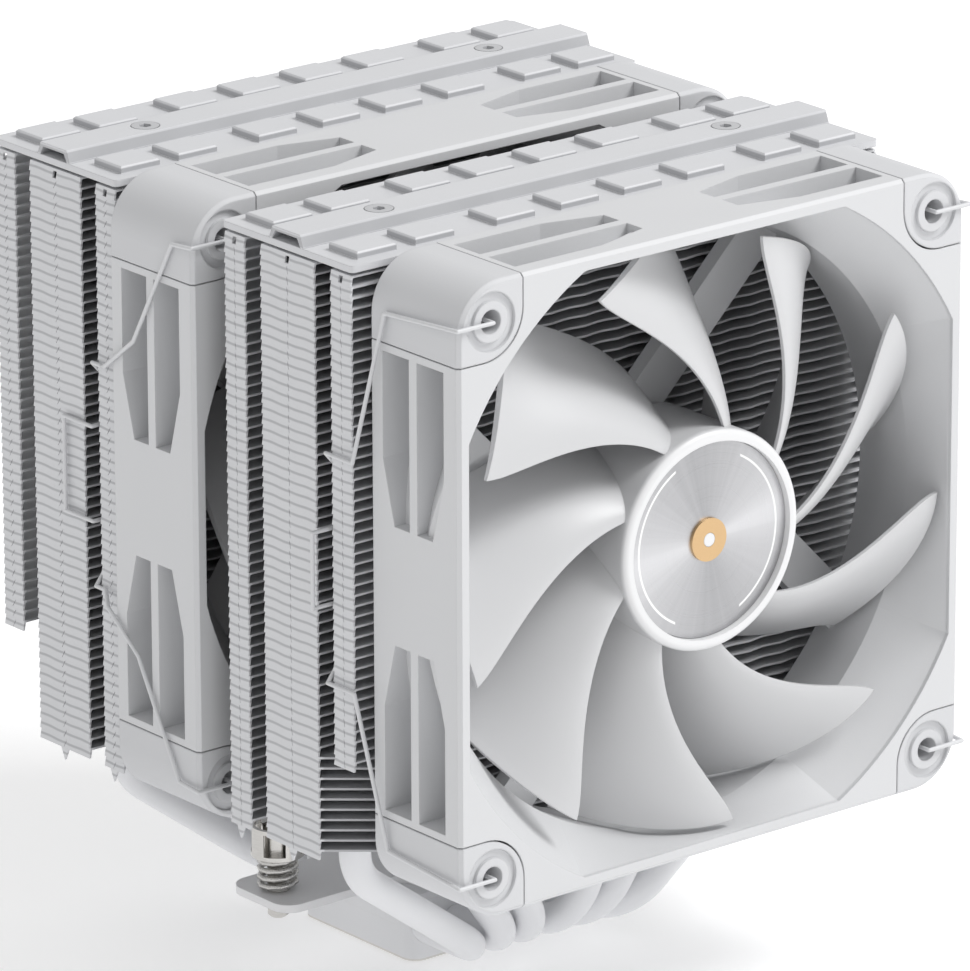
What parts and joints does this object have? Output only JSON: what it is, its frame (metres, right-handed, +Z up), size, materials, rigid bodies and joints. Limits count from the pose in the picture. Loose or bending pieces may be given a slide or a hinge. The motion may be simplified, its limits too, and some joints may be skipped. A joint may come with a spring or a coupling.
{
  "type": "cpu tower cooler",
  "caption": "Dual-tower processor cooler with finned heat-pipe towers, two axial fans held by wire clips, and a spring-screw mounting bar.",
  "frame": {"origin": "centre of the cold plate's contact face, which rests on the processor", "axes": "+Z up from the processor along the towers, +Y from the front fan towards the rear tower, +X across the fans to the right seen from the front"},
  "size_m": [0.1332, 0.1349, 0.1571],
  "materials": {
    "nickel_plate": "fine milled, nickel plated copper",
    "white_block": "satin white paint",
    "white_bar": "satin white paint",
    "screw_steel": "zinc plated",
    "white_fins": "satin white coating on aluminium",
    "white_cover": "satin white paint",
    "white_strip": "smooth white paint",
    "screw_white": "white painted steel",
    "white_pipe": "satin white coating on copper",
    "white_plastic": "fine moulded texture",
    "white_rubber": "soft matt silicone",
    "bearing_brass": "turned",
    "stator_steel": "laminated",
    "copper_wire": "enamelled copper wire",
    "board_green": "solder mask",
    "white_blades": "semi-gloss moulded plastic",
    "yoke_steel": "deep drawn",
    "magnet_black": "bonded ferrite",
    "shaft_steel": "ground",
    "brushed_disc": "radially brushed",
    "gold_ring": "anodised gold",
    "clip_wire": "white coated spring wire",
    "screw_nickel": "nickel plated",
    "clip_steel": "spring steel",
    "spring_steel": "nickel plated spring wire"
  },
  "bodies": {
    "cooler": {"cold_plate": "nickel_plate", "pipe_clamp_block": "white_block", "mounting_bar": "white_bar", "bar_fixing_screws": "screw_steel", "front_fin_stack": "white_fins", "rear_fin_stack": "white_fins", "front_top_cover": "white_cover", "rear_top_cover": "white_cover", "front_top_bar": "white_strip", "rear_top_bar": "white_strip", "front_bar_screws": "screw_white", "rear_bar_screws": "screw_white", "heat_pipe_1": "white_pipe", "heat_pipe_2": "white_pipe", "heat_pipe_3": "white_pipe", "heat_pipe_4": "white_pipe", "heat_pipe_5": "white_pipe", "heat_pipe_6": "white_pipe", "front_fan_frame": "white_plastic", "front_fan_corner_pads": "white_rubber", "front_fan_bearing": "bearing_brass", "front_fan_stator": "stator_steel", "front_fan_coils": "copper_wire", "front_fan_circuit_board": "board_green", "middle_fan_frame": "white_plastic", "middle_fan_corner_pads": "white_rubber", "middle_fan_bearing": "bearing_brass", "middle_fan_stator": "stator_steel", "middle_fan_coils": "copper_wire", "middle_fan_circuit_board": "board_green"},
    "front_fan_rotor_body": {"front_fan_rotor": "white_blades", "front_fan_steel_yoke": "yoke_steel", "front_fan_magnet": "magnet_black", "front_fan_shaft": "shaft_steel", "front_fan_hub_disc": "brushed_disc", "front_fan_hub_ring": "gold_ring"},
    "middle_fan_rotor_body": {"middle_fan_rotor": "white_blades", "middle_fan_steel_yoke": "yoke_steel", "middle_fan_magnet": "magnet_black", "middle_fan_shaft": "shaft_steel", "middle_fan_hub_disc": "brushed_disc", "middle_fan_hub_ring": "gold_ring"},
    "front_clip_left_body": {"front_clip_left": "clip_wire"},
    "front_clip_right_body": {"front_clip_right": "clip_wire"},
    "middle_clip_left_body": {"middle_clip_left": "clip_wire"},
    "middle_clip_right_body": {"middle_clip_right": "clip_wire"},
    "left_clip_body": {"left_retaining_clip": "clip_steel", "left_screw_spring": "spring_steel"},
    "left_screw_body": {"left_mounting_screw": "screw_nickel"},
    "right_clip_body": {"right_retaining_clip": "clip_steel", "right_screw_spring": "spring_steel"},
    "right_screw_body": {"right_mounting_screw": "screw_nickel"}
  },
  "joints": [
    {"name": "front_fan_spin", "type": "hinge", "parent": "cooler", "child": "front_fan_rotor_body", "pos_m": [0, -0.0677, 0.0963], "axis": [0, 1, 0], "continuous": true},
    {"name": "middle_fan_spin", "type": "hinge", "parent": "cooler", "child": "middle_fan_rotor_body", "pos_m": [0, 0.0018, 0.0963], "axis": [0, 1, 0], "continuous": true},
    {"name": "front_clip_left_swing", "type": "hinge", "parent": "cooler", "child": "front_clip_left_body", "pos_m": [-0.0525, -0.0802, 0.0963], "axis": [0, 0, 1], "range_deg": [0, 30]},
    {"name": "front_clip_right_swing", "type": "hinge", "parent": "cooler", "child": "front_clip_right_body", "pos_m": [0.0525, -0.0802, 0.0963], "axis": [0, 0, -1], "range_deg": [0, 30]},
    {"name": "middle_clip_left_swing", "type": "hinge", "parent": "cooler", "child": "middle_clip_left_body", "pos_m": [-0.058, -0.0107, 0.0963], "axis": [0, 0, 1], "range_deg": [0, 30]},
    {"name": "middle_clip_right_swing", "type": "hinge", "parent": "cooler", "child": "middle_clip_right_body", "pos_m": [0.058, -0.0107, 0.0963], "axis": [0, 0, -1], "range_deg": [0, 30]},
    {"name": "left_screw_press", "type": "slide", "parent": "cooler", "child": "left_clip_body", "axis": [0, 0, -1], "range_m": [0, 0.002], "stiffness_N_per_m": 5000, "deforming": ["left_screw_spring"]},
    {"name": "left_screw_turn", "type": "hinge", "parent": "left_clip_body", "child": "left_screw_body", "pos_m": [-0.039, 0, 0.0147], "axis": [0, 0, 1], "continuous": true},
    {"name": "right_screw_press", "type": "slide", "parent": "cooler", "child": "right_clip_body", "axis": [0, 0, -1], "range_m": [0, 0.002], "stiffness_N_per_m": 5000, "deforming": ["right_screw_spring"]},
    {"name": "right_screw_turn", "type": "hinge", "parent": "right_clip_body", "child": "right_screw_body", "pos_m": [0.039, 0, 0.0147], "axis": [0, 0, 1], "continuous": true}
  ]
}
